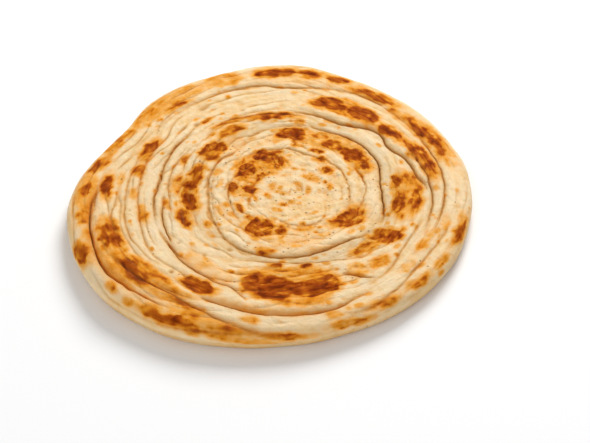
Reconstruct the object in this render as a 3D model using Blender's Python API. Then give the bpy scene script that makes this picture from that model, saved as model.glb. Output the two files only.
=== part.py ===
"""A layered, coiled flatbread: one solid, flat underneath, with a rounded rim and its coil's folds on top.

Metres, +Z up. The bread rests on z = 0 and its bounding box is centred on the Z axis.
The folds are laid out in polar coordinates about the middle of the coil, which lies off
the middle of the bread, as the strip of dough was rolled up and pressed by hand.
"""

import math

import bmesh
import bpy
from mathutils import Vector

MM = 0.001

# Driving dimensions.
DISC_RADIUS = 99.0 * MM
RIM_HEIGHT = 11.4 * MM
CROWN = 0.8 * MM
COIL_OFFSET = Vector((9.5 * MM, -2.8 * MM))

# The mesh: steps round the bread and rings from the coil's middle to the rim. A crowding under 1
# puts the rings closer together outwards, where the folds are.
TURN_STEPS = 112
TOP_RINGS = 36
RING_CROWDING = 0.88

# Where the outline leaves the plain circle: (angle in degrees, height in mm, half width in degrees).
OUTLINE_BULGES = (
    (91, 3.0, 13),
    (148, -1.2, 6),
    (154, -8.5, 19),
    (225, 7.0, 34),
)

# The rim's section from the flat underside to the top: (inset from the outline, height), in mm.
RIM_SECTION = (
    (5.8, 0.0),
    (2.4, 0.9),
    (0.5, 3.0),
    (0.0, 5.6),
    (0.9, 8.2),
    (3.0, 10.3),
    (6.2, RIM_HEIGHT / MM),
)

# The creases between the coil's turns. Each handle is (angle in degrees, radius, depth, step), in mm
# about the coil's middle. The step is how much higher the outer side stands than the inner one.
FOLDS = {
    "heart": (
        (-28, 49.0, 2.0, -0.6), (0, 44.6, 3.0, -0.8), (25, 48.0, 3.0, -0.8), (50, 49.6, 2.4, -0.6),
        (78, 48.0, 1.2, -0.2), (134, 40.2, 1.4, 0.0), (165, 42.0, 2.2, -0.4), (205, 43.2, 2.0, -0.4),
        (236, 48.4, 2.2, -1.2), (268, 48.4, 3.4, -2.4), (297, 45.5, 3.4, -2.4), (332, 49.0, 2.0, -0.6),
    ),
    "second_turn": (
        (-24, 70.6, 0.0, 0.2), (0, 69.0, 2.4, 0.8), (30, 59.5, 3.6, 2.2), (46, 61.6, 3.6, 2.2),
        (62, 57.4, 3.4, 2.0), (96, 61.2, 2.0, 0.6), (128, 62.8, 1.6, 0.2), (148, 67.4, 2.4, 0.6),
        (190, 66.6, 2.8, 0.8), (222, 72.8, 3.2, 1.9), (246, 75.2, 3.0, 1.8), (256, 83.0, 1.2, 0.4),
        (262, 86.0, 0.0, 0.0),
    ),
    "rim_turn": (
        (242, 86.8, 0.0, 0.0), (258, 87.8, 3.2, -1.4), (275, 86.5, 3.4, -1.6), (296, 81.5, 1.4, -0.6),
        (330, 75.4, 1.6, 0.6), (360, 75.6, 2.2, 1.2), (386, 76.4, 2.0, 1.0), (424, 84.4, 1.2, 0.8),
        (450, 82.2, 2.2, 1.5), (470, 86.4, 2.0, 1.2), (500, 84.2, 1.2, 0.4), (547, 86.6, 1.6, 0.4),
        (582, 98.2, 1.8, 0.8), (612, 94.6, 0.0, 0.0),
    ),
    "petal": ((246, 55.0, 0.0, 0.4), (262, 52.4, 1.8, 1.2), (286, 53.8, 0.0, 0.4)),
}

# The small turns in the heart, which an even spiral gives: radii and depth in mm.
HEART_COIL = {"start": 20, "turns": 2.3, "inner_radius": 11.0, "pitch": 10.0, "depth": 1.3}

FOLD_WIDTH = 2.7
FOLD_SIDE_FADE = 9.0
LIP_HEIGHT = 0.28
RELIEF_RIM_FADE = 8.5

DOUGH_COLOUR = (0.80, 0.52, 0.25, 1.0)
DOUGH_ROUGHNESS = 0.72


def clear_scene():
    for obj in list(bpy.data.objects):
        bpy.data.objects.remove(obj)


def smooth_step(value):
    value = min(max(value, 0.0), 1.0)
    return value * value * (3.0 - 2.0 * value)


def turn_between(first, second):
    """The signed angle from first to second, in degrees, from -180 to 180."""
    return (second - first + 180.0) % 360.0 - 180.0


def outline_radius(angle):
    """The outline's distance from the coil's middle: an off-centre circle with its bulges."""
    direction = Vector((math.cos(math.radians(angle)), math.sin(math.radians(angle))))
    along = -COIL_OFFSET.dot(direction)
    radius = along + math.sqrt(DISC_RADIUS**2 - COIL_OFFSET.length_squared + along**2)
    for middle, height, half_width in OUTLINE_BULGES:
        radius += height * MM * math.exp(-((turn_between(middle, angle) / half_width) ** 2))
    return radius


def spiral_handles(start, turns, inner_radius, pitch, depth):
    """The handles of an even spiral crease, one for each twelfth of a turn, fading in and out."""
    count = round(12 * turns)
    handles = []
    for index in range(count + 1):
        fade = max(math.sin(math.pi * index / count), 0.0) ** 0.5
        handles.append((start + 30 * index, inner_radius + pitch * index / 12, depth * fade, 0.0))
    return handles


def crease_at(handles, angle):
    """The crease's (radius, depth, step) at an angle, eased between handles, or None past its ends."""
    for start, end in zip(handles, handles[1:]):
        if start[0] <= angle < end[0]:
            part = smooth_step((angle - start[0]) / (end[0] - start[0]))
            return [low + (high - low) * part for low, high in zip(start[1:], end[1:])]
    return None


def crease_relief(crease, radius):
    """The height that one crease adds, in mm: a rounded groove, a lip on each side and a step."""
    crease_radius, depth, step = crease
    away = radius - crease_radius
    reach = abs(away) / FOLD_WIDTH
    groove = -depth * math.exp(-(reach**2))
    lips = LIP_HEIGHT * depth * math.exp(-((reach - 2.0) ** 2))
    side = math.copysign(step / 2, away) * (1.0 - math.exp(-reach))
    return groove + lips + side * math.exp(-abs(away) / FOLD_SIDE_FADE)


def top_relief(angle, radius, outline):
    """The crown and every fold together, fading out where the top rolls over into the rim."""
    crown = CROWN * (1.0 - (radius / outline) ** 2)
    if radius == 0.0:
        return crown
    paths = [*FOLDS.values(), spiral_handles(**HEART_COIL)]
    laps = [crease_at(handles, angle + lap) for handles in paths for lap in (-360, 0, 360, 720)]
    folds = sum(crease_relief(crease, radius / MM) for crease in laps if crease)
    return crown + folds * MM * smooth_step((outline - radius) / MM / RELIEF_RIM_FADE)


def bread_section():
    """The section's points from underside to top, each as (part of the way to the rim, rim step)."""
    rim = [(1.0, step) for step in range(len(RIM_SECTION))]
    reaches = [(ring / TOP_RINGS) ** RING_CROWDING for ring in range(TOP_RINGS)]
    top = [(reach, None) for reach in reversed(reaches)]
    return [(0.0, None)] + rim + top


def place_point(reach, rim_step, angle, on_top):
    """A point of the section, moved out to the outline and up or down with the folds."""
    outline = outline_radius(angle)
    if rim_step is None:
        radius = reach * (outline - RIM_SECTION[-1][0] * MM)
        height = RIM_HEIGHT if on_top else 0.0
    else:
        inset, rim_height = RIM_SECTION[rim_step]
        radius = outline - inset * MM
        height = rim_height * MM
        on_top = rim_step == len(RIM_SECTION) - 1
    if on_top:
        height += top_relief(angle, radius, outline)
    turn = math.radians(angle)
    return Vector((radius * math.cos(turn), radius * math.sin(turn), height))


def turn_section(mesh):
    """Spins a plain slanting section round the axis, then moves each point to its place on the bread."""
    section = bread_section()
    profile = [mesh.verts.new(((1 + index) * MM, 0.0, index * MM)) for index in range(len(section))]
    edges = [mesh.edges.new(pair) for pair in zip(profile, profile[1:])]
    bmesh.ops.spin(
        mesh, geom=profile + edges, cent=(0, 0, 0), axis=(0, 0, 1), dvec=(0, 0, 0),
        angle=2 * math.pi, steps=TURN_STEPS, use_merge=True, use_duplicate=False,
    )
    for vertex in mesh.verts:
        index = round(vertex.co.z / MM)
        step = round(math.atan2(vertex.co.y, vertex.co.x) / (2 * math.pi) * TURN_STEPS)
        angle = 360.0 * (step % TURN_STEPS) / TURN_STEPS
        vertex.co = place_point(*section[index], angle, index > 0)
    bmesh.ops.remove_doubles(mesh, verts=mesh.verts, dist=0.01 * MM)


def centre_on_axis(mesh):
    """Moves the bread so that its box is centred over the origin."""
    xs = [vertex.co.x for vertex in mesh.verts]
    ys = [vertex.co.y for vertex in mesh.verts]
    middle = Vector(((min(xs) + max(xs)) / 2, (min(ys) + max(ys)) / 2, 0.0))
    bmesh.ops.translate(mesh, verts=mesh.verts, vec=-middle)


def dough_material():
    material = bpy.data.materials.new("baked_dough")
    material.use_nodes = True
    shader = material.node_tree.nodes["Principled BSDF"]
    shader.inputs["Base Color"].default_value = DOUGH_COLOUR
    shader.inputs["Roughness"].default_value = DOUGH_ROUGHNESS
    shader.inputs["Metallic"].default_value = 0.0
    material.diffuse_color = DOUGH_COLOUR
    return material


def make_paratha(collection):
    shape = bmesh.new()
    turn_section(shape)
    centre_on_axis(shape)
    bmesh.ops.recalc_face_normals(shape, faces=shape.faces)
    mesh = bpy.data.meshes.new("paratha")
    shape.to_mesh(mesh)
    shape.free()
    mesh.materials.append(dough_material())
    mesh.shade_smooth()
    paratha = bpy.data.objects.new("paratha", mesh)
    collection.objects.link(paratha)
    return paratha


def main():
    clear_scene()
    collection = bpy.data.collections.new("paratha_flatbread")
    bpy.context.scene.collection.children.link(collection)
    make_paratha(collection)


main()
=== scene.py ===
import math

import bpy
import numpy as np
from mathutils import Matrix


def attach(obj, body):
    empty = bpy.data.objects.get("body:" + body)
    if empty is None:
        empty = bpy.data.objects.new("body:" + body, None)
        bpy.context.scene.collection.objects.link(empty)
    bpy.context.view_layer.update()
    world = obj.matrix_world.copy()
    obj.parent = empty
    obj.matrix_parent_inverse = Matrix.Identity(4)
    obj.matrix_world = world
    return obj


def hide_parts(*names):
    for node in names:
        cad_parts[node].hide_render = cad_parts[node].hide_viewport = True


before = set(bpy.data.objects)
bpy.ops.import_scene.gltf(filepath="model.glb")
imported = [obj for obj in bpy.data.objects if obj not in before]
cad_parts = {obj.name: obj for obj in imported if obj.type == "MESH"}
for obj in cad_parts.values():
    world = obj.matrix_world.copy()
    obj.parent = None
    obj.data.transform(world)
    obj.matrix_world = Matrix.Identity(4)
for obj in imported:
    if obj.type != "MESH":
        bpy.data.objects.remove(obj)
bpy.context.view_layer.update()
mm = 0.001

bread = {
    "discRadius": 99.0,
    "coilOffset": (9.5, -2.8),      # the coil's middle, from the middle of the round outline
    "bulges": [(91, 4.2, 14), (148, -1.2, 6), (154, -8.5, 19), (225, 7.0, 34)],   # angle, height, half width
    "topHeight": 11.4,
    "crown": 0.9,
    "rimWidth": 6.4,
    "rimMiddle": 5.4,               # height of the rim's widest line
    "frontRise": (230, 2.0, 50),    # the rim stands thicker here: angle, height, half width
    "turnSteps": 560,
    "topRings": 126,
    "rimRings": 26,
    "underRings": 20,
    "outlineWander": 0.5,
    "undulation": 0.55,
    "fineBumps": 0.30,
    "pleats": 0.32,
    "heartLumps": 0.6,
    "wallBumps": 0.28,
    "wallShadeTop": 7.5,                 # painted shade: below this height the side wall darkens, reaching full over the fade below
    "wallShadeFade": 6.0,
    "underDents": 0.25,
    "underCreases": 0.7,
    "underSeams": 0.25,
    "rimPower": 0.95,               # under 1, the rim's section is a little squarer than an ellipse
    "heartEdge": 56.0,              # the heart's lumps fade out over heartFade inside this radius
    "heartFade": 12.0,
    "pleatsFrom": 6.0,              # the pleats fade in over pleatsFade outside this radius
    "pleatsFade": 14.0,
    "riseFrom": 62.0,               # and so does the front's rise, over riseFade
    "riseFade": 40.0,
    "seed": 11,
}

# Noises in plan: (size of a bump, shift in cells, layer, octaves).
planNoises = {
    "slow": (44.0, (20, 20), 30, 2),
    "fine": (5.0, (60, 60), 33, 3),
    "lumps": (7.5, (80, 25), 38, 2),
    "under": (9.0, (30, 70), 50, 2),
    "patchAlong": (5.2, (40, 40), 21, 3),
    "patchAcross": (5.2, (90, 10), 24, 3),
    "browning": (6.0, (15, 35), 29, 2),
}

# Noises round the coil: (degrees of a bump, its length outwards, layer, octaves).
turnNoises = {
    "outline": (12.0, 1.0, 40, 1),
    "crease": (6.0, 1.0, 3, 2),
    "sheets": (20.0, 26.0, 7, 2),
    "sheetMask": (15.0, 7.0, 12, 2),
    "browning": (6.0, 3.4, 27, 2),
    "pleats": (10.0, 3.0, 36, 2),
    "wall": (18.0, 1.7, 44, 2),
}

# Each fold is a crease along the coil, with the dough on either side rising to (height, width).
# A path's handles are (angle, radius, strength).
folds = {
    "heartRight": {
        "depth": 1.9, "inner": (1.1, 3.8), "outer": (0.3, 1.6),
        "path": [(-30, 49.2, 0), (-24, 48.8, 0.4), (-15, 46.5, 0.9), (0, 44.6, 1), (10, 44.8, 1),
                 (20, 47, 1), (30, 48.5, 1), (40, 49.4, 1), (52, 49.5, 0.7), (66, 48.6, 0.35),
                 (84, 49.8, 0.2), (104, 49, 0.15), (120, 45, 0.2), (132, 40.8, 0)],
    },
    "heartFront": {
        "depth": 1.2, "inner": (0.8, 3.2), "outer": (0.1, 1.4),
        "path": [(226, 47, 0), (236, 48.6, 0.45), (250, 49.1, 0.6), (266, 48.5, 1), (278, 47.8, 1),
                 (290, 46.3, 1), (300, 45.2, 1), (308, 45.7, 0.8), (316, 47.8, 0.4), (326, 49.5, 0)],
    },
    "heartLeft": {
        "depth": 0.9, "inner": (0.35, 2.6), "outer": (0.3, 1.8),
        "path": [(128, 41, 0), (140, 40.3, 0.6), (149, 42.3, 0.9), (160, 42, 1), (175, 41.5, 1),
                 (188, 41, 1), (200, 42.5, 0.9), (212, 44, 0.8), (222, 46, 0.8), (230, 48, 0.6),
                 (238, 49.6, 0)],
    },
    "heartLeftPair": {
        "depth": 0.6, "inner": (0.2, 1.2), "outer": (0.2, 1.0),
        "path": [(160, 39.2, 0), (172, 39.4, 1), (187, 39.2, 1), (205, 41.0, 1), (222, 44.6, 0)],
    },
    "innerRing": {
        "depth": 0.4, "inner": (0.2, 1.5), "outer": (0.4, 1.6),
        "path": [(-34, 30.5, 0), (-16, 29.5, 0.8), (13, 27.8, 1), (33, 28.6, 1), (50, 27.7, 1),
                 (71, 27.4, 1), (92, 30.5, 1), (112, 32.8, 0.8), (128, 34, 0.4), (142, 34, 0)],
    },
    "innerRingRight": {
        "depth": 0.5, "inner": (0.1, 1.2), "outer": (0.3, 1.2),
        "path": [(-30, 35.5, 0), (-14, 36, 1), (0, 36.6, 1), (18, 35.8, 1), (32, 34.6, 0)],
    },
    "innerLobe": {
        "depth": 0.4, "inner": (0.4, 2.4), "outer": (0.0, 1.2),
        "path": [(118, 14, 0), (130, 15.7, 0.6), (152, 17.2, 0.8), (171, 18.9, 1), (190, 19.3, 0.9),
                 (206, 22.9, 0.8), (222, 22.4, 0.35), (243, 21.4, 0.2), (262, 24.6, 0.5), (289, 27.4, 0.8),
                 (307, 26.1, 0.7), (322, 21, 0.4), (336, 17, 0)],
    },
    "innerLeft": {
        "depth": 0.6, "inner": (0.3, 1.6), "outer": (0.2, 1.2),
        "path": [(150, 28, 0), (166, 30, 0.8), (180, 31, 1), (194, 31.4, 1), (212, 32.5, 0.7),
                 (230, 35, 0)],
    },
    "backWall": {
        "depth": 1.2, "inner": (0.1, 1.8), "outer": (1.5, 3.2),
        "path": [(-4, 67.5, 0), (3, 65.8, 0.6), (9, 63.3, 0.8), (22, 62, 0.95), (31, 59.3, 1),
                 (36, 59.2, 1), (41, 61.6, 1), (49, 61.8, 1), (55, 59.6, 1), (60, 57.3, 1), (70, 57.5, 0.9),
                 (78, 59.2, 0.7), (86, 60.8, 0.45), (94, 62, 0)],
    },
    "backStreak": {
        "depth": 0.8, "inner": (0.7, 2.2), "outer": (0.2, 1.4),
        "path": [(84, 58.2, 0), (92, 59.6, 0.7), (102, 61.6, 0.9), (112, 61.8, 1), (122, 63.4, 0.9),
                 (130, 62.2, 0.5), (138, 60, 0)],
    },
    "rightTurn": {
        "depth": 1.2, "inner": (0.5, 2.2), "outer": (0.4, 1.6),
        "path": [(-26, 70.4, 0), (-16, 69.8, 0.7), (0, 69.3, 1), (10, 68, 1), (20, 66.5, 0.8),
                 (30, 64.2, 0)],
    },
    "rimRight": {
        "depth": 0.9, "inner": (0.1, 1.4), "outer": (0.7, 2.2),
        "path": [(-26, 74, 0), (-14, 74.6, 0.8), (0, 75.6, 1), (10, 76, 1), (20, 75.6, 0.9),
                 (34, 77.5, 0.5), (50, 80.2, 0.5), (66, 83.6, 0.6), (76, 83.4, 0)],
    },
    "rimBack": {
        "depth": 0.6, "inner": (0.0, 1.4), "outer": (1.0, 4.0),
        "path": [(64, 84.6, 0), (76, 83.4, 0.6), (90, 82, 1), (95, 82.5, 1), (99, 85, 1), (106, 86.3, 0.9),
                 (116, 86, 0.5), (130, 84.8, 0.4), (146, 84, 0.3), (160, 85.2, 0.3), (174, 86, 0)],
    },
    "leftTurn": {
        "depth": 1.3, "inner": (0.3, 2.0), "outer": (0.6, 2.2),
        "path": [(138, 66.5, 0), (147, 67.5, 0.8), (160, 66.4, 0.9), (180, 66.1, 1), (188, 68, 0.9),
                 (197, 69, 0.6), (207, 71, 0)],
    },
    "leftSlot": {
        "depth": 2.3, "inner": (0.2, 2.2), "outer": (1.2, 2.0),
        "path": [(176, 61.4, 0), (186, 62.6, 0.35), (193, 64.4, 0.7), (199, 66, 1), (205, 67, 1),
                 (210, 67.6, 0.7), (216, 68.6, 0)],
    },
    "leftFine": {
        "depth": 0.7, "inner": (0.1, 1.0), "outer": (0.35, 1.3),
        "path": [(140, 58.5, 0), (152, 59.8, 0.7), (164, 61, 1), (178, 60.6, 1), (190, 60.2, 0.8),
                 (204, 61, 0)],
    },
    "frontSweep": {
        "depth": 1.9, "inner": (0.8, 5.4), "outer": (1.5, 2.0),
        "path": [(203, 69.4, 0), (210, 70.3, 0.5), (217, 71.5, 0.9), (224, 73, 1), (234, 74, 1),
                 (243, 74.8, 0.9), (249, 76, 0.7), (253, 79.5, 0.5), (257, 83, 0)],
    },
    "petalInner": {
        "depth": 0.5, "inner": (0.0, 1.2), "outer": (0.8, 1.8),
        "path": [(242, 56.4, 0), (250, 54.3, 0.8), (262, 52.5, 1), (275, 52.8, 1), (290, 54.4, 1),
                 (300, 57, 0.8), (312, 61, 0)],
    },
    "petalFront": {
        "depth": 2.6, "inner": (2.4, 4.6), "outer": (0.8, 1.8),
        "path": [(240, 86.6, 0), (248, 87.6, 0.8), (258, 88, 1), (268, 87.7, 1), (276, 86.3, 1),
                 (283, 84.6, 0.7), (291, 81.5, 0.3), (300, 78, 0)],
    },
    "petalRight": {
        "depth": 1.0, "inner": (0.7, 2.0), "outer": (0.0, 1.2),
        "path": [(291, 64.8, 0), (295, 66.2, 0.9), (299, 70.5, 1), (303, 73, 0)],
    },
    "rimFrontLip": {
        "depth": 2.6, "inner": (0.8, 5.4), "outer": (1.3, 2.0),
        "path": [(172, 93.6, 0), (180, 95.2, 0.4), (187, 98.6, 0.7), (194, 100.4, 0.9), (202, 102.4, 1),
                 (209, 104.2, 1), (215, 105, 1), (221, 103.6, 0.9), (229, 101.4, 0.5), (238, 99, 0)],
    },
    "rimFrontLine": {
        "depth": 0.9, "inner": (0.8, 3.0), "outer": (0.2, 1.4),
        "path": [(206, 98.4, 0), (216, 96.6, 0.8), (224, 94.8, 1), (234, 92.6, 1), (242, 93.8, 0.9),
                 (251, 96.2, 0.8), (262, 96.4, 0.5), (276, 96, 0)],
    },
    "leftTerraceA": {
        "depth": 0.6, "inner": (0.1, 1.2), "outer": (0.4, 1.6),
        "path": [(176, 84.6, 0), (187, 86.5, 1), (193, 89.5, 1), (199, 90.2, 0.7), (208, 90, 0)],
    },
    "leftTerraceB": {
        "depth": 0.6, "inner": (0.3, 1.8), "outer": (0.2, 1.2),
        "path": [(150, 80, 0), (164, 80.6, 0.6), (180, 81, 1), (193, 83, 1), (202, 84.5, 0.9),
                 (215, 84.2, 0.8), (226, 82, 0)],
    },
    "leftTerraceC": {
        "depth": 0.6, "inner": (0.1, 1.4), "outer": (0.4, 1.6),
        "path": [(142, 74.6, 0), (156, 75.4, 0.8), (176, 75, 1), (194, 76, 1), (206, 78.5, 1),
                 (214, 80.6, 0.6), (222, 80.6, 0)],
    },
    "frontTerrace": {
        "depth": 0.5, "inner": (0.5, 2.6), "outer": (0.1, 1.2),
        "path": [(284, 88.6, 0), (292, 88.6, 0.8), (304, 85, 1), (316, 80.6, 1), (330, 79.4, 0.8),
                 (346, 81, 0)],
    },
    "rightTerrace": {
        "depth": 0.5, "inner": (0.3, 2.0), "outer": (0.2, 1.2),
        "path": [(296, 76, 0), (308, 73, 0.8), (320, 68, 1), (334, 66.4, 0.8), (348, 66.6, 0)],
    },
}

# The painted shade along a crease is a dark line and a dim band, each (share, width); the painted highlight
# on the lip lies lipPlace from the crease on its higher side, lipWidth wide.
foldLooks = {
    "deeper": 1.75, "wider": 1.4, "wander": 0.6, "liftFade": 9.0, "overhang": 0.2,
    "gather": 0.45, "gatherWidth": 3.2, "gatherLimit": 1.2,
    "line": (0.74, 0.7), "dim": (0.3, 2.6), "darkestAt": 1.6,
    "lipPlace": 1.7, "lipWidth": 0.6,
}

# Thin edges of the rolled sheet that show between the folds.
layerEdges = {"pitch": 5.0, "height": 1.0, "wander": 4.0, "mostAt": 185.0, "least": 0.45, "from": 14.0,
              "fadeIn": 12.0}

# Open blisters: (angle, radius, half length, half width, depth).
blisterPits = [
    (125, 79.5, 3.2, 1.3, 0.9), (134, 70.6, 1.6, 1.2, 0.8), (140, 73, 3.0, 0.9, 0.7),
    (112, 68, 1.2, 0.9, 0.6), (157, 70, 1.3, 1.0, 0.6), (216, 65.5, 1.0, 0.8, 0.7),
    (227, 81.7, 1.1, 1.1, 1.2), (192, 80.5, 1.0, 0.8, 0.6), (192, 93, 1.3, 0.9, 0.7),
    (229, 62.5, 0.9, 0.8, 0.6), (236, 52, 1.4, 0.9, 0.7), (242, 46.5, 1.3, 0.8, 0.7),
    (8, 5.4, 3.0, 0.5, 0.6), (88, 36.6, 1.4, 0.9, 0.8), (299, 63, 1.2, 0.9, 0.6),
    (150, 47.5, 1.0, 0.8, 0.6),
]

# Browned patches, two of them painted shade: (from angle, to angle, from radius, to radius, how dark, radius
# gained from end to end).
brownedPatches = [
    # the heart
    (16, 106, 34.6, 47.4, 0.46, 0), (98, 172, 15, 34.4, 0.62, 0), (166, 196, 15.4, 32, 0.48, 0),
    (222, 266, 24.6, 39.6, 0.4, 0), (268, 292, 25.6, 34, 0.28, 0), (304, 345, 28, 42.6, 0.36, 3),
    (250, 296, 32, 44, 0.27, 0), (122, 150, 38.6, 57, 0.3, 0), (19, 50, 35.2, 45, 1.05, 0),
    (50, 67, 35.6, 43.8, 0.95, 0), (64, 77, 40.4, 46.4, 0.85, 0), (78, 101, 38, 48.4, 1.0, 0),
    (60, 72, 30.2, 33.4, 0.9, 0), (81, 90, 32, 35, 0.7, 0), (27, 49, 20, 26, 0.8, 0),
    (46, 70, 23.6, 30, 0.42, 0), (52, 62, 25, 29, 0.7, 0), (24, 52, 12.6, 16.4, 0.55, 0),
    (0, 12, 18, 20.4, 0.6, 0), (101, 126, 19, 30.6, 1.0, 5), (113, 129, 27, 34.4, 1.05, 0),
    (136, 160, 22.6, 31, 1.05, 0), (138, 165, 16.6, 20.4, 0.75, 0), (118, 140, 14, 17.4, 0.6, 0),
    (150, 182, 8, 11, 0.5, 0), (168, 191, 17, 24.4, 1.0, 0), (170, 187, 26.4, 31, 0.95, 0),
    (202, 214, 27, 30.4, 0.8, 0), (221, 231, 27, 30.6, 0.8, 0), (229, 254, 25, 38, 1.0, 0),
    (255, 267, 25.4, 37, 0.85, 0), (274, 291, 27, 31, 0.6, 0), (292, 301, 35, 39, 0.55, 0),
    (306, 339, 29.4, 40.6, 0.95, 3), (258, 285, 7.8, 10.6, 0.5, 0), (199, 210, 36.6, 39.6, 0.55, 0),
    (208, 218, 33, 36, 0.45, 0), (276, 300, 43.4, 46.8, 0.32, 0), (100, 112, 27, 31, 0.8, 0),
    (50, 63, 46, 49, 0.5, 0), (96, 104, 43, 48, 0.5, 0), (44, 54, 42, 47, 0.5, 0),
    # the second turn
    (249, 260, 43.4, 48, 0.75, 0), (209, 217, 46, 49.4, 0.7, 0), (82, 89, 49.8, 55, 0.6, 0),
    (88, 113, 55.8, 62.2, 0.95, 3), (111, 128, 60, 63.8, 0.9, 1), (116, 132, 52, 59, 0.85, 0),
    (126, 131.5, 68.4, 71.6, 0.75, 0), (134, 153, 44.2, 55.4, 1.0, 0), (158, 173, 45, 52.2, 1.0, 0),
    (169, 200, 45, 55.4, 0.66, 0), (171, 181, 46, 53, 1.0, 0), (183, 198, 47, 55, 1.0, 0),
    (170, 183, 54.6, 58.8, 0.75, 0), (195, 209, 52.8, 59.2, 1.0, 0), (154, 161, 56.8, 60.2, 0.8, 0),
    (223, 249, 64, 74.6, 0.36, 4), (-22, 14, 49.4, 65.6, 0.66, 0), (-20, -5, 50, 57, 0.95, 0),
    (-12, 1, 58.6, 64.6, 0.92, 0), (1, 11, 50, 55.4, 0.9, 0), (317, 331, 50, 62.6, 0.95, 4),
    (302, 319, 51.4, 58, 0.75, 0), (304, 314, 62.6, 69.4, 0.7, 0), (294, 303, 60, 70, 0.5, 0),
    # the outer turns, right and back
    (49, 83, 62, 77.6, 0.66, 2), (49.5, 66, 63.4, 75, 1.05, 1), (66, 80.5, 65, 76.4, 1.0, 1),
    (33, 49, 63.6, 70.8, 0.95, 0), (7, 34, 66.2, 74, 0.95, -3), (13, 48, 75.8, 87.2, 0.6, 0),
    (17, 43, 77.8, 84.4, 1.0, 0), (38, 44, 80.6, 86, 0.8, 0), (46, 52, 80.4, 84.4, 0.7, 0),
    (334, 348, 83.6, 89.6, 0.85, 0), (322, 329, 85, 88.8, 0.7, 0), (308, 318, 85, 90, 0.75, 0),
    (294, 304, 85.8, 92.2, 0.7, 0), (281, 293, 91.4, 97.4, 0.75, 0), (280, 286, 86.4, 90.4, 0.55, 0),
    (323, 336, 71, 76, 0.5, 0), (338, 346, 76.6, 80.6, 0.45, 0), (312, 320, 74, 79, 0.4, 0),
    # the petal and the front
    (249.5, 289.5, 56, 82, 0.64, 0), (257, 271, 61, 80, 1.12, 0), (269, 284, 64.5, 77.5, 1.08, 0),
    (259.5, 266.5, 53, 57, 0.9, 0), (273.5, 280.5, 54, 57.6, 0.9, 0), (280, 289, 62, 75, 0.95, 0),
    # (250, 286, 83.5, 88.4) on the next line is painted shade on the petal's front wall, laid on as browning
    (250.5, 258.5, 63, 76, 0.95, 0), (250, 286, 83.5, 88.4, 0.38, 0), (231, 245, 77.6, 85.6, 1.0, 0),
    (210, 231, 86, 99.4, 0.72, -4), (213, 225, 90.4, 97.4, 1.0, -1), (194, 213, 87.6, 99, 0.72, 2),
    (196, 209, 89, 97.4, 1.0, 1), (173, 185, 88, 94, 0.9, 0), (151, 164, 74.8, 81.4, 0.9, 0),
    (166, 173, 73.8, 80.4, 0.8, 0), (180, 187, 75.4, 79.6, 0.5, 0), (189, 200, 72, 77, 0.6, 0),
    (171, 179, 83.2, 86.4, 0.4, 0), (231, 246, 92.4, 97.2, 0.85, 1), (236, 262, 96.4, 101.6, 0.6, 0),
    (249, 258, 97, 102, 0.66, 0), (260, 274, 97, 101, 0.7, 0), (256, 261, 90.6, 94, 0.7, 0),
    # (199, 227, 99, 104.4) on the next line is painted shade on the inner slope of the rim's front crease,
    # laid on as browning
    (218, 232, 94.6, 98, 0.6, -2), (199, 227, 99, 104.4, 0.55, 0), (221, 240, 88, 92, 0.5, -1),
    # the rim
    (50, 69, 83.6, 90, 0.98, 1), (70, 79, 88.6, 95, 0.95, 0), (79.5, 88.5, 89.6, 97.6, 0.9, 0),
    (88, 102, 90.6, 100, 0.95, 0), (46, 104, 84, 93, 0.3, 4), (106, 119, 89.6, 101.4, 0.55, 2),
    (118, 150, 89.4, 100.4, 0.52, -3), (127, 138, 87.4, 91.4, 0.75, 0), (132, 148, 93.6, 100.4, 0.68, -4),
    (120, 131, 95.4, 100, 0.5, 0), (150, 166, 92.6, 98.4, 0.75, 3), (164, 174, 95, 102, 0.8, 4),
    (171, 191, 96.4, 106, 0.55, 2), (176, 184, 98.6, 104, 0.85, 1), (189, 196, 101, 106, 0.85, 1),
    (196, 203, 100.4, 105, 0.7, 0), (201, 209, 105.6, 112, 1.0, 0), (218, 222, 106, 109, 0.7, 0),
    (224.6, 228, 105.6, 109, 0.75, 0), (229, 238, 103, 108.4, 0.85, -1), (236, 247, 100.6, 107.6, 0.95, -2),
    (246, 268, 101.4, 105.6, 0.6, -1),
]

toastLooks = {
    "halo": 1.9, "core": 1.7, "haloShare": 0.47, "grow": 0.45,
    "ragged": 2.1, "underRagged": 2.4, "uneven": 0.5, "squareness": 2.3,
    "downWall": 1.09,               # how fast a patch's radius goes on down the wall
    "streakRing": 26.0,             # round the coil, the streaks are laid out on a circle of this radius
    "speckStrength": 0.9,
    "specks": {"count": 300, "reach": 92.0, "largest": 1.0, "darkest": 0.75, "seed": 5},
    "underPatches": {"count": 120, "reach": 92.0, "largest": 7.0, "darkest": 1.05, "seed": 8},
}


def say(words):
    print("bread:", words, flush=True)


# Smooth step: 3t^2 - 2t^3 between 0 and 1.
def ease(t):
    t = np.clip(t, 0.0, 1.0)
    return t * t * (3.0 - 2.0 * t)


# Gradient noise: each corner of a square lattice holds a random slope, and the four are eased together.
# It repeats after wrap cells of u, so that a turn round the bread closes on itself. About -1 to 1.
tableSize = 256
layerSteps = (53, 97)
slopeAngles = np.random.default_rng(bread["seed"]).random((tableSize, tableSize)) * 2 * math.pi


def latticeNoise(u, v, layer, wrap):
    cellU, cellV = np.floor(u).astype(int), np.floor(v).astype(int)
    partU, partV = u - cellU, v - cellV

    def corner(stepU, stepV):
        row = ((cellU + stepU) % wrap + layerSteps[0] * layer) % tableSize
        angle = slopeAngles[row, (cellV + stepV + layerSteps[1] * layer) % tableSize]
        return np.cos(angle) * (partU - stepU) + np.sin(angle) * (partV - stepV)

    blendU, blendV = ease(partU), ease(partV)
    low = corner(0, 0) * (1 - blendU) + corner(1, 0) * blendU
    high = corner(0, 1) * (1 - blendU) + corner(1, 1) * blendU
    return 1.5 * (low * (1 - blendV) + high * blendV)


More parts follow.
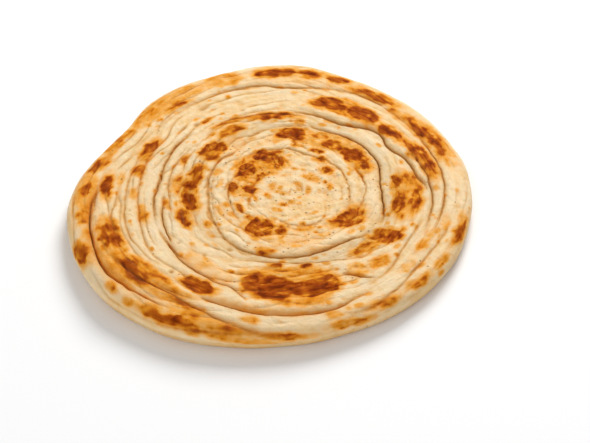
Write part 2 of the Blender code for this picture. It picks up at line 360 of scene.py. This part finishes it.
# Several layers of that noise, each half as large and half as strong as the one before.
def roughNoise(u, v, layer, octaves, wrap=tableSize):
    total = 0 * u
    for k in range(octaves):
        finer = 2 ** k
        total = total + latticeNoise(u * finer, v * finer, layer + k, min(wrap * finer, tableSize)) / finer
    return total / (2 - 0.5 ** (octaves - 1))


# A named noise in plan.
def planNoise(name, x, y):
    size, (shiftX, shiftY), layer, octaves = planNoises[name]
    return roughNoise(x / size + shiftX, y / size + shiftY, layer, octaves)


# A named noise round the coil, which closes after a full turn.
def turnNoise(name, angle, outwards):
    degrees, size, layer, octaves = turnNoises[name]
    return roughNoise(angle / degrees, outwards / size, layer, octaves, round(360 / degrees))


# Cubic curve through handles: at each handle its slope is that of its neighbours' chord.
def throughHandles(x, xs, ys):
    xs, ys = np.asarray(xs, float), np.asarray(ys, float)
    slopes = np.gradient(ys, xs)
    k = np.clip(np.searchsorted(xs, x) - 1, 0, len(xs) - 2)
    span = xs[k + 1] - xs[k]
    t = np.clip((x - xs[k]) / span, 0.0, 1.0)
    rise = ys[k + 1] - ys[k]
    bend = t * (1 - t) * ((1 - t) * (slopes[k] * span - rise) + t * (rise - slopes[k + 1] * span))
    return ys[k] + rise * t + bend


# The signed turn from one angle to another, from -180 to 180 degrees.
def turnBetween(first, second):
    return (second - first + 180.0) % 360.0 - 180.0


# A bell round the middle: 1 there, and e^-1 at one width from it.
def bell(away, width):
    return np.exp(-((away / width) ** 2))


# Outline: the distance from the coil's middle to an off-centre circle, plus a bell-shaped bulge or dent
# for each entry and a slow noise.
def outlineRadius(angle):
    turn = np.radians(angle)
    along = -(bread["coilOffset"][0] * np.cos(turn) + bread["coilOffset"][1] * np.sin(turn))
    offsetSquared = bread["coilOffset"][0] ** 2 + bread["coilOffset"][1] ** 2
    radius = along + np.sqrt(bread["discRadius"] ** 2 - offsetSquared + along ** 2)
    for middle, height, halfWidth in bread["bulges"]:
        radius = radius + height * bell(turnBetween(middle, angle), halfWidth)
    return radius + bread["outlineWander"] * turnNoise("outline", angle, 0.5)


# A fold's crease at each angle: its radius, which wanders a little, and its strength, 0 past its ends.
def foldAt(fold, angle):
    angles, radii, strengths = zip(*fold["path"])
    middle = (angles[0] + angles[-1]) / 2
    own = middle + turnBetween(middle, angle)
    inside = (own > angles[0]) & (own < angles[-1])
    wander = foldLooks["wander"] * turnNoise("crease", angle, radii[0] * 0.37)
    strength = np.clip(throughHandles(own, angles, strengths), 0.0, 1.2) * inside
    return throughHandles(own, angles, radii) + wander, strength


# Gathers grid points towards the creases: each is pulled in by a share of its distance, less and less
# further out.
def gatherRadii(angle, radius):
    pull = 0 * radius
    for fold in folds.values():
        crease, strength = foldAt(fold, angle)
        away = radius - crease
        pull = pull + strength * away * bell(away, foldLooks["gatherWidth"])
    return radius - foldLooks["gather"] * np.clip(pull, -foldLooks["gatherLimit"], foldLooks["gatherLimit"])


# Folds: beside a crease the dough rises along a quarter circle to its height, then sinks back. Returns the
# height, the sideways lean that lets the higher side hang over, how deep in a crease each point is, which
# the colour paints as shade and the underside presses in as a groove, and how near the lip along the
# crease's higher side, where the colour paints a highlight.
def foldRelief(angle, radius):
    groove, lift, lean, shade, lipHighlight = (0 * radius for _ in range(5))
    for fold in folds.values():
        crease, strength = foldAt(fold, angle)
        away = radius - crease
        depth = fold["depth"] * foldLooks["deeper"]
        for side, (height, width) in ((-1, fold["inner"]), (1, fold["outer"])):
            on = (away * side > 0) | ((away == 0) & (side > 0))
            width = width * foldLooks["wider"]
            t = np.clip(np.abs(away) / width, 0.0, 1.0)
            rounded = np.sqrt(1.0 - (1.0 - t) ** 2)
            fade = np.exp(-np.clip(np.abs(away) - width, 0, None) / foldLooks["liftFade"])
            groove = np.maximum(groove, on * strength * depth * (1.0 - rounded))
            lift = lift + on * strength * height * rounded * fade
            lean = lean - on * side * strength * foldLooks["overhang"] * (depth + height) * 4 * t * (1 - t)
        (lineShare, lineWidth), (dimShare, dimWidth) = foldLooks["line"], foldLooks["dim"]
        dark = lineShare * bell(away, lineWidth) + dimShare * bell(away, dimWidth)
        shade = np.maximum(shade, strength * min(fold["depth"] / foldLooks["darkestAt"], 1.0) * dark)
        higher = 1 if fold["outer"][0] > fold["inner"][0] else -1
        lipHighlight = np.maximum(lipHighlight, strength * bell(away * higher - foldLooks["lipPlace"], foldLooks["lipWidth"]))
    return lift - groove, lean, shade, lipHighlight


# Even radius: 0 at the coil's middle and 100 on the outline, so that layers follow the rim further out.
def evenRadius(angle, radius):
    share = ease(radius / 95.0)
    return radius * (1.0 + share * (100.0 / outlineRadius(angle) - 1.0))


# Sheet edges: a saw wave of the even radius plus one turn in 360 degrees, bent by slow noise.
def layerPhase(angle, radius):
    bend = layerEdges["wander"] * turnNoise("sheets", angle, radius)
    return (evenRadius(angle, radius) + bend) / layerEdges["pitch"] - angle / 360.0


# Where sheet edges show: in patches of noise, more on one side, and not in the coil's middle.
def layerMask(angle, radius):
    patchy = ease(0.5 + 1.5 * turnNoise("sheetMask", angle, radius))
    oneSide = ease(0.5 + 0.6 * np.cos(np.radians(angle - layerEdges["mostAt"])))
    shown = layerEdges["least"] + (1 - layerEdges["least"]) * oneSide
    return patchy * shown * ease((radius - layerEdges["from"]) / layerEdges["fadeIn"])


# Each sheet is a low rounded strand: the 0.6th power of a parabola over the saw wave.
def layerRelief(angle, radius):
    phase = layerPhase(angle, radius)
    part = phase - np.floor(phase)
    strand = (4 * part * (1 - part)) ** 0.6
    return layerEdges["height"] * (strand - 0.6) * layerMask(angle, radius)


# Spots: a smooth bump for each (angle, radius, half length along the coil, half width, height).
def spotSum(angle, radius, spots):
    total = 0 * radius
    for middle, spotRadius, halfLength, halfWidth, height in spots:
        along = np.radians(turnBetween(middle, angle)) * spotRadius / halfLength
        across = (radius - spotRadius) / halfWidth
        total = total + height * np.exp(-(along ** 2 + across ** 2))
    return total


# Browned patches: for each, the depth inside an oval with ragged edges, turned into a halo that rises
# evenly and a core that is eased in further inside. The strongest patch counts.
def toastField(angle, radius, patches, ragged):
    x, y = radius * np.cos(np.radians(angle)), radius * np.sin(np.radians(angle))
    shiftAlong = ragged * planNoise("patchAlong", x, y)
    shiftAcross = ragged * planNoise("patchAcross", x, y)
    power, haloShare = toastLooks["squareness"], toastLooks["haloShare"]
    field = 0 * radius
    for start, end, inner, outer, dark, gain in patches:
        middle, spotRadius = (start + end) / 2, (inner + outer) / 2
        halfLength = max(math.radians(end - start) / 2 * spotRadius, 0.5)
        halfWidth = (outer - inner) / 2
        turned = turnBetween(middle, angle)
        along = (np.radians(turned) * np.maximum(radius, 4.0) + shiftAlong) / halfLength
        lean = gain * turned / (end - start)
        across = (radius - spotRadius - lean + shiftAcross * min(1.0, halfWidth / 3.0)) / halfWidth
        small = min(halfLength, halfWidth)
        oval = (np.abs(along) ** power + np.abs(across) ** power) ** (1 / power)
        inside = (1.0 - oval) * small + toastLooks["grow"]
        halo = min(0.5 + 0.5 * small, toastLooks["halo"])
        core = min(0.4 + 0.4 * small, toastLooks["core"])
        glow = np.clip(1.0 + inside / halo, 0.0, 1.0)
        cooked = ease((inside + 0.06 * core) / core)
        field = np.maximum(field, dark * (haloShare * glow + (1 - haloShare) * cooked))
    streaky = turnNoise("browning", angle, evenRadius(angle, radius))
    return field * (0.92 + toastLooks["uneven"] * (0.6 * streaky + 0.7 * planNoise("browning", x, y)))


# The top edge's browning reaches down the front wall: radius measured over the shoulder at the front, and
# along the surface elsewhere.
def toastRadius(grid):
    front = np.clip(-np.sin(np.radians(grid["angle"])), 0.0, 1.0) * (grid["upward"] >= -0.2)
    over = grid["radius"] + toastLooks["downWall"] * (bread["topHeight"] - grid["height"])
    return grid["surface"] * (1 - front) + np.maximum(over, grid["surface"]) * front


# The rim's section, from the top (turn 0) over the widest line to the underside (turn 180): the inset is
# rimWidth times 1 less the sine to rimPower, and the height goes with the cosine to rimPower.
def rimSection(turn):
    inset = bread["rimWidth"] * (1.0 - np.sin(turn) ** bread["rimPower"])
    up = np.sign(np.cos(turn)) * np.abs(np.cos(turn)) ** bread["rimPower"]
    tall = np.where(up > 0, bread["topHeight"] - bread["rimMiddle"], bread["rimMiddle"])
    return inset, bread["rimMiddle"] + tall * up


# The bread is a grid of turnSteps angles by rings from the top's middle, over the rim, to the underside's
# middle. Each point has a radius, a height, an outward direction and its place along the surface.
def breadGrid():
    turns = np.arange(bread["turnSteps"]) * 360.0 / bread["turnSteps"]
    topShare = np.arange(1, bread["topRings"] + 1) / bread["topRings"]
    rimTurn = np.arange(1, bread["rimRings"] + 1) / bread["rimRings"] * math.pi
    underShare = 1.0 - np.arange(1, bread["underRings"]) / bread["underRings"]
    rings = len(topShare) + len(rimTurn) + len(underShare)
    angle = np.repeat(turns[None, :], rings, 0)
    outline = outlineRadius(angle)
    flatRadius = outline - bread["rimWidth"]

    top, rim = slice(0, len(topShare)), slice(len(topShare), len(topShare) + len(rimTurn))
    under = slice(rim.stop, rings)
    radius, height = 0 * angle, 0 * angle
    outward, upward, surface = 0 * angle, 0 * angle + 1.0, 0 * angle
    radius[top] = gatherRadii(angle[top], topShare[:, None] * flatRadius[top])
    height[top] = bread["topHeight"]
    surface[top] = radius[top]
    inset, rimHeight = rimSection(rimTurn)
    radius[rim] = outline[rim] - inset[:, None]
    height[rim] = rimHeight[:, None]
    outward[rim] = np.sin(rimTurn)[:, None]
    upward[rim] = np.cos(rimTurn)[:, None]
    surface[rim] = flatRadius[rim] + (rimTurn[:, None] / math.pi) * (bread["topHeight"] + bread["rimWidth"])
    radius[under] = underShare[:, None] * flatRadius[under]
    surface[under] = radius[under]
    upward[under] = -1.0
    return {"angle": angle, "outline": outline, "radius": radius, "height": height, "outward": outward,
            "upward": upward, "surface": surface, "under": under}


# How much lower each point lies than the average of its surroundings, a few rings and steps either way.
def hollows(relief, reach):
    around = relief
    for axis in (0, 1):
        total = around.copy()
        for step in range(1, reach + 1):
            for way in (-step, step):
                moved = np.roll(around, way, axis)
                if axis == 0:
                    edge = slice(0, way) if way > 0 else slice(way, None)
                    moved[edge] = around[edge]
                total = total + moved
        around = total / (2 * reach + 1)
    return around - relief


# Presses and lifts every point along its own outward direction, and leans the folds sideways. On the top
# the relief is the sum of the folds, the sheets, the pits, the crown and the noises.
def shapeBread(grid):
    angle, surface, upward = grid["angle"], grid["surface"], grid["upward"]
    x, y = grid["radius"] * np.cos(np.radians(angle)), grid["radius"] * np.sin(np.radians(angle))
    upper = np.clip(upward, 0.0, 1.0) ** 0.5
    lift, lean, shade, lipHighlight = foldRelief(angle, surface)
    slow = bread["undulation"] * planNoise("slow", x, y)
    fine = bread["fineBumps"] * planNoise("fine", x, y)
    offPole = ease((surface - bread["pleatsFrom"]) / bread["pleatsFade"])
    pleats = bread["pleats"] * turnNoise("pleats", angle, evenRadius(angle, surface)) * offPole
    heart = ease((bread["heartEdge"] - surface) / bread["heartFade"])
    lumps = bread["heartLumps"] * heart * planNoise("lumps", x, y)

    pits = spotSum(angle, surface, [(a, r, l, w, -d) for a, r, l, w, d in blisterPits])
    crown = bread["crown"] * (1.0 - (surface / grid["outline"]) ** 2)
    riseAngle, rise, riseWidth = bread["frontRise"]
    outer = ease((surface - bread["riseFrom"]) / bread["riseFade"])
    thick = rise * bell(turnBetween(riseAngle, angle), riseWidth) * outer
    relief = lift + slow + fine + pleats + lumps + layerRelief(angle, surface) + pits + crown + thick
    sideWall = bread["wallBumps"] * turnNoise("wall", angle, grid["height"]) + 0.12 * fine
    dents = bread["underDents"] * np.clip(planNoise("under", x, y), 0, 1)
    seams = layerMask(angle, surface) * (layerPhase(angle, surface) % 1.0 < 0.16)
    pressed = dents + bread["underCreases"] * shade + bread["underSeams"] * seams

    push = np.where(upward > 0, upper * relief + (1 - upper) * sideWall, sideWall)
    push[grid["under"]] = -pressed[grid["under"]]
    radius = grid["radius"] + grid["outward"] * push + upper * lean * (upward > 0)
    height = np.clip(grid["height"] + upward * push, 0.0, None)
    slope = np.abs(np.gradient(lift, axis=0) / np.maximum(np.abs(np.gradient(surface, axis=0)), 0.2))
    # Most marks below place painted light in the colour: painted shade in creases, pits, hollows, on steep
    # walls and low on the side wall, and a painted highlight on ridges and along the higher lip of each
    # crease.
    marks = {
        "crease": shade * np.where(upward < -0.99, 0.7, upper),
        "lipHighlight": lipHighlight * upper,
        "pit": np.clip(-pits, 0, 1) * upper,
        "hollow": (hollows(relief, 3) + 0.7 * hollows(relief, 9)) * upper,
        "slope": np.clip(slope, 0, 1) * upper,
        "wall": ease((bread["wallShadeTop"] - grid["height"]) / bread["wallShadeFade"]) * (upward > -0.999),
        "heart": heart * upper,
    }
    return radius, height, marks


# A closed mesh from the rings: quads between rings, and a fan at the middle of the top and of the underside.
def meshFromRings(name, radius, angle, height, topMiddle, underMiddle):
    rings, steps = radius.shape
    x, y = radius * np.cos(np.radians(angle)), radius * np.sin(np.radians(angle))
    points = np.stack([x, y, height], -1).reshape(-1, 3)
    points = np.concatenate([points, [[0, 0, topMiddle], [0, 0, underMiddle]]])
    middle = (points.min(0) + points.max(0)) / 2
    points[:, :2] -= middle[:2]
    index = np.arange(rings * steps).reshape(rings, steps)
    following = np.roll(index, -1, 1)
    quads = np.stack([index[:-1], index[1:], following[1:], following[:-1]], -1).reshape(-1, 4)
    topFan = np.stack([np.full(steps, rings * steps), index[0], following[0]], -1)
    underFan = np.stack([np.full(steps, rings * steps + 1), following[-1], index[-1]], -1)
    mesh = bpy.data.meshes.new(name)
    mesh.from_pydata((points * mm).tolist(), [], quads.tolist() + topFan.tolist() + underFan.tolist())
    mesh.shade_smooth()
    return mesh, middle


def addAttribute(mesh, name, values):
    isVector = np.ndim(values) == 2
    layer = mesh.attributes.new(name, "FLOAT_VECTOR" if isVector else "FLOAT", "POINT")
    layer.data.foreach_set("vector" if isVector else "value", np.asarray(values, np.float32).ravel())


# Small scattered marks: random places within reach, thicker near the middle, each a tiny browned oval.
def scatteredPatches(count, reach, largest, darkest, seed):
    rng = np.random.default_rng(seed)
    angles, radii = rng.random(count) * 360, reach * rng.random(count) ** 0.62
    sizes, darks = 0.5 + largest * rng.random(count) ** 2.2, 0.35 + (darkest - 0.35) * rng.random(count)
    stretch = 1.0 + 1.2 * rng.random(count)
    halfTurns = np.degrees(sizes * stretch / np.maximum(radii, 3.0))
    columns = [angles - halfTurns, angles + halfTurns, radii - sizes, radii + sizes, darks, 0 * radii]
    return [tuple(row) for row in np.stack(columns, -1)]


# The browning of the whole surface: the named patches and the specks on top, other patches underneath.
def toastMarks(grid):
    angle, over = grid["angle"], toastRadius(grid)
    specks = scatteredPatches(**toastLooks["specks"])
    underPatches = scatteredPatches(**toastLooks["underPatches"])
    onTop = toastField(angle, over, brownedPatches, toastLooks["ragged"])
    onTop = np.maximum(onTop, toastLooks["speckStrength"] * toastField(angle, over, specks, 0.3))
    onUnder = toastField(angle, grid["surface"], underPatches, toastLooks["underRagged"])
    return onTop * ease((grid["upward"] + 0.25) / 0.5) + onUnder * ease((-grid["upward"] - 0.2) / 0.6)


def makeBread():
    grid = breadGrid()
    angle, surface = grid["angle"], grid["surface"]
    say("grid of %d rings by %d steps" % angle.shape)
    radius, height, marks = shapeBread(grid)
    topMiddle, underMiddle = float(height[0].mean()), float(height[-1].mean())
    mesh, middle = meshFromRings("parathaSkin", radius, angle, height, topMiddle, underMiddle)
    say("folds shaped")

    marks["toast"] = toastMarks(grid)
    marks["layerPhase"] = layerPhase(angle, surface)
    marks["layerMask"] = layerMask(angle, surface) * np.abs(grid["upward"])
    for name, values in marks.items():
        addAttribute(mesh, name, np.concatenate([values.ravel(), (0, 0)]))
    # a place along the coil, without a seam: streaks in it follow the turns
    turn, ringSize = np.radians(angle), toastLooks["streakRing"]
    coil = np.stack([ringSize * np.cos(turn), ringSize * np.sin(turn), evenRadius(angle, surface)], -1)
    addAttribute(mesh, "coil", np.concatenate([coil.reshape(-1, 3), np.zeros((2, 3))]) * mm)
    piece = bpy.data.objects.new("parathaSkin", mesh)
    bpy.context.scene.collection.objects.link(piece)
    say("browned patches laid on")
    return piece, middle


doughLooks = {
    "cream": (0.84, 0.63, 0.37),
    "creamWarm": (0.83, 0.54, 0.225),
    "tan": (0.77, 0.47, 0.17),
    "fleck": (0.90, 0.74, 0.52),
    "blush": (0.86, 0.56, 0.27),
    "golden": (0.84, 0.415, 0.095),
    "orange": (0.74, 0.27, 0.016),
    "brown": (0.48, 0.115, 0.007),
    "dark": (0.32, 0.055, 0.003),
    "burnt": (0.17, 0.023, 0.0015),
    # painted highlight on the tops and lips of the folds
    "ridgeHighlight": (0.89, 0.725, 0.475),
    # painted shade in the hollows between folds and on their steep walls
    "hollow": (0.90, 0.60, 0.20),
    "slope": (0.94, 0.67, 0.27),
    # painted shade, deeper towards the bottom of the side wall
    "wall": (0.88, 0.77, 0.58),
    # painted shade in creases, along sheet edges and in pits
    "creaseShade": (0.25, 0.125, 0.04),
    # painted shade inside the pinholes
    "pinholeShade": (0.30, 0.13, 0.03),
    "roughness": (0.42, 0.60),
    "specular": 0.14,
    "refraction": 1.42,
    "subsurface": 0.16,
    "subsurfaceRadius": (0.0022, 0.0011, 0.0005),
}

# How fine each pattern is, in cycles for a metre.
doughScales = {
    "blotches": 55.0, "mottle": 210.0, "flecks": 420.0, "ragged": 170.0, "streaks": 380.0, "veins": 210.0,
    "pinholes": 310.0, "gloss": 140.0, "grain": 1100.0, "wrinkles": 330.0, "flakes": 420.0,
}

# How high each pattern stands in the bump, in metres.
doughHeights = {
    "grain": 0.00016, "wrinkles": 0.0009, "sheetEdges": 0.00022, "pinholes": 0.0003, "flakes": 0.00026,
    "crust": 0.0012,
}


# A small helper that adds nodes, sets their inputs and links them by their sockets.
class NodeBench:
    def __init__(self, material):
        material.use_nodes = True
        self.tree = material.node_tree
        self.shader = self.tree.nodes["Principled BSDF"]

    def put(self, socket, value):
        if hasattr(value, "is_output"):
            self.tree.links.new(value, socket)
        elif socket.type == "RGBA":
            socket.default_value = (*value, 1.0)
        else:
            socket.default_value = value

    def add(self, kind, settings=(), **inputs):
        node = self.tree.nodes.new(kind)
        for key, value in dict(settings).items():
            setattr(node, key, value)
        for key, value in inputs.items():
            self.put(node.inputs[key], value)
        return node

    def math(self, operation, *values):
        node = self.add("ShaderNodeMath", {"operation": operation})
        for socket, value in zip(node.inputs, values):
            self.put(socket, value)
        return node.outputs[0]

    def plus(self, first, second):
        return self.math("ADD", first, second)

    def minus(self, first, second):
        return self.math("SUBTRACT", first, second)

    def times(self, first, second):
        return self.math("MULTIPLY", first, second)

    def clamp(self, value, high=1.0):
        return self.math("MINIMUM", self.math("MAXIMUM", value, 0.0), high)

    def attribute(self, name, output="Fac"):
        return self.add("ShaderNodeAttribute", {"attribute_name": name}).outputs[output]

    def noise(self, vector, scale, detail=3.0, roughness=0.55):
        return self.add("ShaderNodeTexNoise", Vector=vector, Scale=doughScales[scale], Detail=detail,
                        Roughness=roughness).outputs["Fac"]

    def mix(self, factor, first, second, blend="MIX"):
        node = self.add("ShaderNodeMix", {"data_type": "RGBA", "blend_type": blend})
        for index, value in ((0, factor), (6, first), (7, second)):
            self.put(node.inputs[index], value)
        return node.outputs[2]

    def ramp(self, factor, stops):
        node = self.add("ShaderNodeValToRGB", Fac=factor)
        while len(node.color_ramp.elements) < len(stops):
            node.color_ramp.elements.new(0.5)
        for element, (place, colour) in zip(node.color_ramp.elements, stops):
            element.position = place
            element.color = (*colour, 1.0)
        return node.outputs["Color"]

    def greyRamp(self, factor, stops):
        return self.ramp(factor, [(place, (value, value, value)) for place, value in stops])


# Pale dough: warm and tan blotches over cream, with fine light flecks.
def paleDough(bench, place):
    blotches = bench.greyRamp(bench.noise(place, "blotches"), [(0.36, 0.0), (0.66, 1.0)])
    mottle = bench.greyRamp(bench.noise(place, "mottle", 4.0, 0.6), [(0.5, 0.0), (0.68, 0.75)])
    flecks = bench.greyRamp(bench.noise(place, "flecks", 2.0), [(0.52, 0.0), (0.78, 0.35)])
    pale = bench.mix(blotches, doughLooks["cream"], doughLooks["creamWarm"])
    pale = bench.mix(mottle, pale, doughLooks["tan"])
    return bench.mix(flecks, pale, doughLooks["fleck"])


# Browned dough: the painted field, roughened at two scales and veined where it is strong, through a ramp
# from golden to burnt. Also returns the roughening, which the bump reuses.
def brownedDough(bench, place, coil, toast):
    ragged = bench.minus(bench.noise(place, "ragged", 3.0, 0.45), 0.5)
    streaks = bench.minus(bench.noise(coil, "streaks", 2.0, 0.45), 0.5)
    uneven = bench.plus(bench.times(ragged, 0.6), bench.times(streaks, 0.42))
    spread = bench.clamp(bench.times(toast, 1.5))
    value = bench.plus(bench.times(toast, 0.615), bench.times(uneven, spread))
    veinNoise = bench.math("ABSOLUTE", bench.minus(bench.noise(coil, "veins", 2.0, 0.5), 0.5))
    veins = bench.clamp(bench.minus(1.0, bench.times(veinNoise, 11.0)))
    cooked = bench.clamp(bench.times(bench.minus(toast, 0.5), 3.0))
    value = bench.plus(value, bench.times(bench.times(veins, cooked), 0.2))
    places = {"cream": 0.03, "blush": 0.12, "golden": 0.26, "orange": 0.42, "brown": 0.54, "dark": 0.70,
              "burnt": 0.86}
    browned = bench.ramp(value, [(stop, doughLooks[name]) for name, stop in places.items()])
    return browned, bench.plus(streaks, ragged)


# Pinholes: small dots in some cells of a cell pattern, many in the heart and few elsewhere; the colour
# darkens them with painted shade, and the bump presses them in.
def pinholes(bench, place):
    cells = bench.add("ShaderNodeTexVoronoi", Vector=place, Scale=doughScales["pinholes"])
    chosen = bench.add("ShaderNodeSeparateColor", Color=cells.outputs["Color"]).outputs[0]
    wanted = bench.minus(0.96, bench.times(bench.attribute("heart"), 0.66))
    dot = bench.greyRamp(cells.outputs["Distance"], [(0.08, 1.0), (0.2, 0.0)])
    return bench.times(dot, bench.math("GREATER_THAN", chosen, wanted))


# Flakes: noise cut into flat steps, along the coil outside the heart and evenly inside it.
def flakes(bench, place, coil):
    smaller = bench.add("ShaderNodeVectorMath", {"operation": "SCALE"}, Scale=0.6)
    bench.put(smaller.inputs[0], place)
    along = bench.add("ShaderNodeMix", {"data_type": "VECTOR"})
    for index, value in ((0, bench.attribute("heart")), (4, coil), (5, smaller.outputs[0])):
        bench.put(along.inputs[index], value)
    steps = [(0.36, 0.0), (0.44, 0.16), (0.455, 0.42), (0.52, 0.5), (0.535, 0.8), (0.62, 1.0)]
    return bench.greyRamp(bench.noise(along.outputs[1], "flakes", 4.0, 0.6), steps)


def makeDough():
    looks = doughLooks
    material = bpy.data.materials.new("bakedDough")
    bench = NodeBench(material)
    place = bench.add("ShaderNodeTexCoord").outputs["Object"]
    coil = bench.attribute("coil", "Vector")
    toast = bench.attribute("toast")
    present = bench.clamp(bench.times(toast, 2.6))
    browned, crustBumps = brownedDough(bench, place, coil, toast)
    colour = bench.mix(bench.clamp(bench.times(toast, 5.0)), paleDough(bench, place), browned)

    # painted light: a painted highlight on the tops of the folds and along their lips, and painted shade in
    # the hollows between them and on steep walls
    hollowness = bench.attribute("hollow")
    highlightShare = bench.clamp(bench.times(hollowness, -1.1), 0.55)
    highlightShare = bench.math("MAXIMUM", highlightShare, bench.times(bench.attribute("lipHighlight"), 0.6))
    colour = bench.mix(bench.times(highlightShare, bench.minus(1.0, present)), colour, looks["ridgeHighlight"])
    colour = bench.mix(bench.clamp(hollowness, 0.75), colour, looks["hollow"], "MULTIPLY")
    colour = bench.mix(bench.times(bench.attribute("slope"), 0.7), colour, looks["slope"], "MULTIPLY")

    # painted shade: creases, sheet edges and pits are darkened where shade falls in them
    saw = bench.math("FRACT", bench.attribute("layerPhase"))
    edge = bench.greyRamp(saw, [(0.0, 1.0), (0.13, 0.0), (0.87, 0.0), (1.0, 1.0)])
    sheetEdges = bench.times(edge, bench.attribute("layerMask"))
    shade = bench.math("MAXIMUM", bench.times(bench.attribute("crease"), 0.85), bench.times(sheetEdges, 0.4))
    shade = bench.math("MAXIMUM", shade, bench.times(bench.attribute("pit"), 0.55))
    colour = bench.mix(shade, colour, looks["creaseShade"])
    # painted shade, deeper towards the bottom of the side wall
    colour = bench.mix(bench.attribute("wall"), colour, looks["wall"], "MULTIPLY")
    # pinholes: painted shade in the dots, which the bump also presses in
    holes = pinholes(bench, place)
    colour = bench.mix(bench.times(holes, 0.8), colour, looks["pinholeShade"])
    bench.put(bench.shader.inputs["Base Color"], colour)

    low, high = looks["roughness"]
    gloss = bench.greyRamp(bench.noise(place, "gloss"), [(0.35, low), (0.7, high)])
    bench.put(bench.shader.inputs["Roughness"], gloss)
    dull = bench.minus(1.0, bench.times(present, 0.9))
    bench.put(bench.shader.inputs["Specular IOR Level"], bench.times(dull, looks["specular"]))
    bench.shader.inputs["Subsurface Weight"].default_value = looks["subsurface"]
    bench.shader.inputs["Subsurface Radius"].default_value = looks["subsurfaceRadius"]
    bench.shader.inputs["Subsurface Scale"].default_value = 1.0
    bench.shader.inputs["IOR"].default_value = looks["refraction"]

    # surface relief finer than the mesh
    heights = doughHeights
    relief = bench.times(bench.noise(place, "grain"), heights["grain"])
    relief = bench.plus(relief, bench.times(bench.noise(place, "wrinkles", 4.0), heights["wrinkles"]))
    relief = bench.minus(relief, bench.times(sheetEdges, heights["sheetEdges"]))
    relief = bench.minus(relief, bench.times(holes, heights["pinholes"]))
    relief = bench.plus(relief, bench.times(flakes(bench, place, coil), heights["flakes"]))
    relief = bench.plus(relief, bench.times(bench.times(crustBumps, present), heights["crust"]))
    bump = bench.add("ShaderNodeBump", Height=relief, Strength=0.8, Distance=1.0)
    bench.put(bench.shader.inputs["Normal"], bump.outputs["Normal"])
    return material


stageLooks = {
    "floor": (0.93, 0.93, 0.93),
    "floorRoughness": 0.7,
    "floorSpecular": 0.2,
    "floorSize": 12.0,             # metres across
    "floorGap": 0.2,               # below the bread, so that the two flat faces don't share a plane
    "world": (1.0, 1.0, 1.0), "worldStrength": 0.40,
    "key": {"place": (0.34, 1.02, 0.92), "size": 0.75, "power": 18.6},
    "fill": {"place": (-0.4, -1.1, 0.8), "size": 1.0, "power": 6.0},
}


def makeFloor():
    half, low = stageLooks["floorSize"] / 2, -stageLooks["floorGap"] * mm
    mesh = bpy.data.meshes.new("floor")
    mesh.from_pydata([(-half, -half, low), (half, -half, low), (half, half, low), (-half, half, low)], [],
                     [(0, 1, 2, 3)])
    floor = bpy.data.objects.new("floor", mesh)
    material = bpy.data.materials.new("paleFloor")
    shader = NodeBench(material).shader
    shader.inputs["Base Color"].default_value = (*stageLooks["floor"], 1)
    shader.inputs["Roughness"].default_value = stageLooks["floorRoughness"]
    shader.inputs["Specular IOR Level"].default_value = stageLooks["floorSpecular"]
    mesh.materials.append(material)
    bpy.context.scene.collection.objects.link(floor)


# A round lamp that faces the origin.
def makeLight(name, place, size, power):
    light = bpy.data.lights.new(name, "AREA")
    light.shape, light.size, light.energy = "DISK", size, power
    lamp = bpy.data.objects.new(name, light)
    lamp.location = place
    back = -np.array(place)
    lamp.rotation_euler = (math.atan2(math.hypot(back[0], back[1]), -back[2]), 0,
                           math.atan2(back[1], back[0]) - math.pi / 2)
    bpy.context.scene.collection.objects.link(lamp)


def makeWorld():
    world = bpy.data.worlds.new("softStudio")
    world.use_nodes = True
    background = world.node_tree.nodes["Background"]
    background.inputs["Color"].default_value = (*stageLooks["world"], 1)
    background.inputs["Strength"].default_value = stageLooks["worldStrength"]
    bpy.context.scene.world = world
    bpy.context.scene.view_settings.view_transform = "Standard"


# The camera's place is given from the coil's middle.
cameraLooks = {"lens": 100.0, "sensor": 36.0, "fromCoil": (1.8, -606.2, 546.4), "down": 42.5}


def makeCamera(coilMiddle):
    camera = bpy.data.cameras.new("camera")
    camera.lens, camera.sensor_width = cameraLooks["lens"], cameraLooks["sensor"]
    holder = bpy.data.objects.new("camera", camera)
    x, y, z = cameraLooks["fromCoil"]
    holder.location = ((x + coilMiddle[0]) * mm, (y + coilMiddle[1]) * mm, z * mm)
    holder.rotation_euler = (math.radians(90 - cameraLooks["down"]), 0, 0)
    bpy.context.scene.collection.objects.link(holder)
    bpy.context.scene.camera = holder


skin, middle = makeBread()
skin.data.materials.append(makeDough())
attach(skin, "root")
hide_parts("paratha")
say("skin ready, %d faces" % len(skin.data.polygons))

makeFloor()
makeWorld()
makeLight("keyLight", **stageLooks["key"])
makeLight("fillLight", **stageLooks["fill"])
makeCamera(-middle)
say("stage ready")
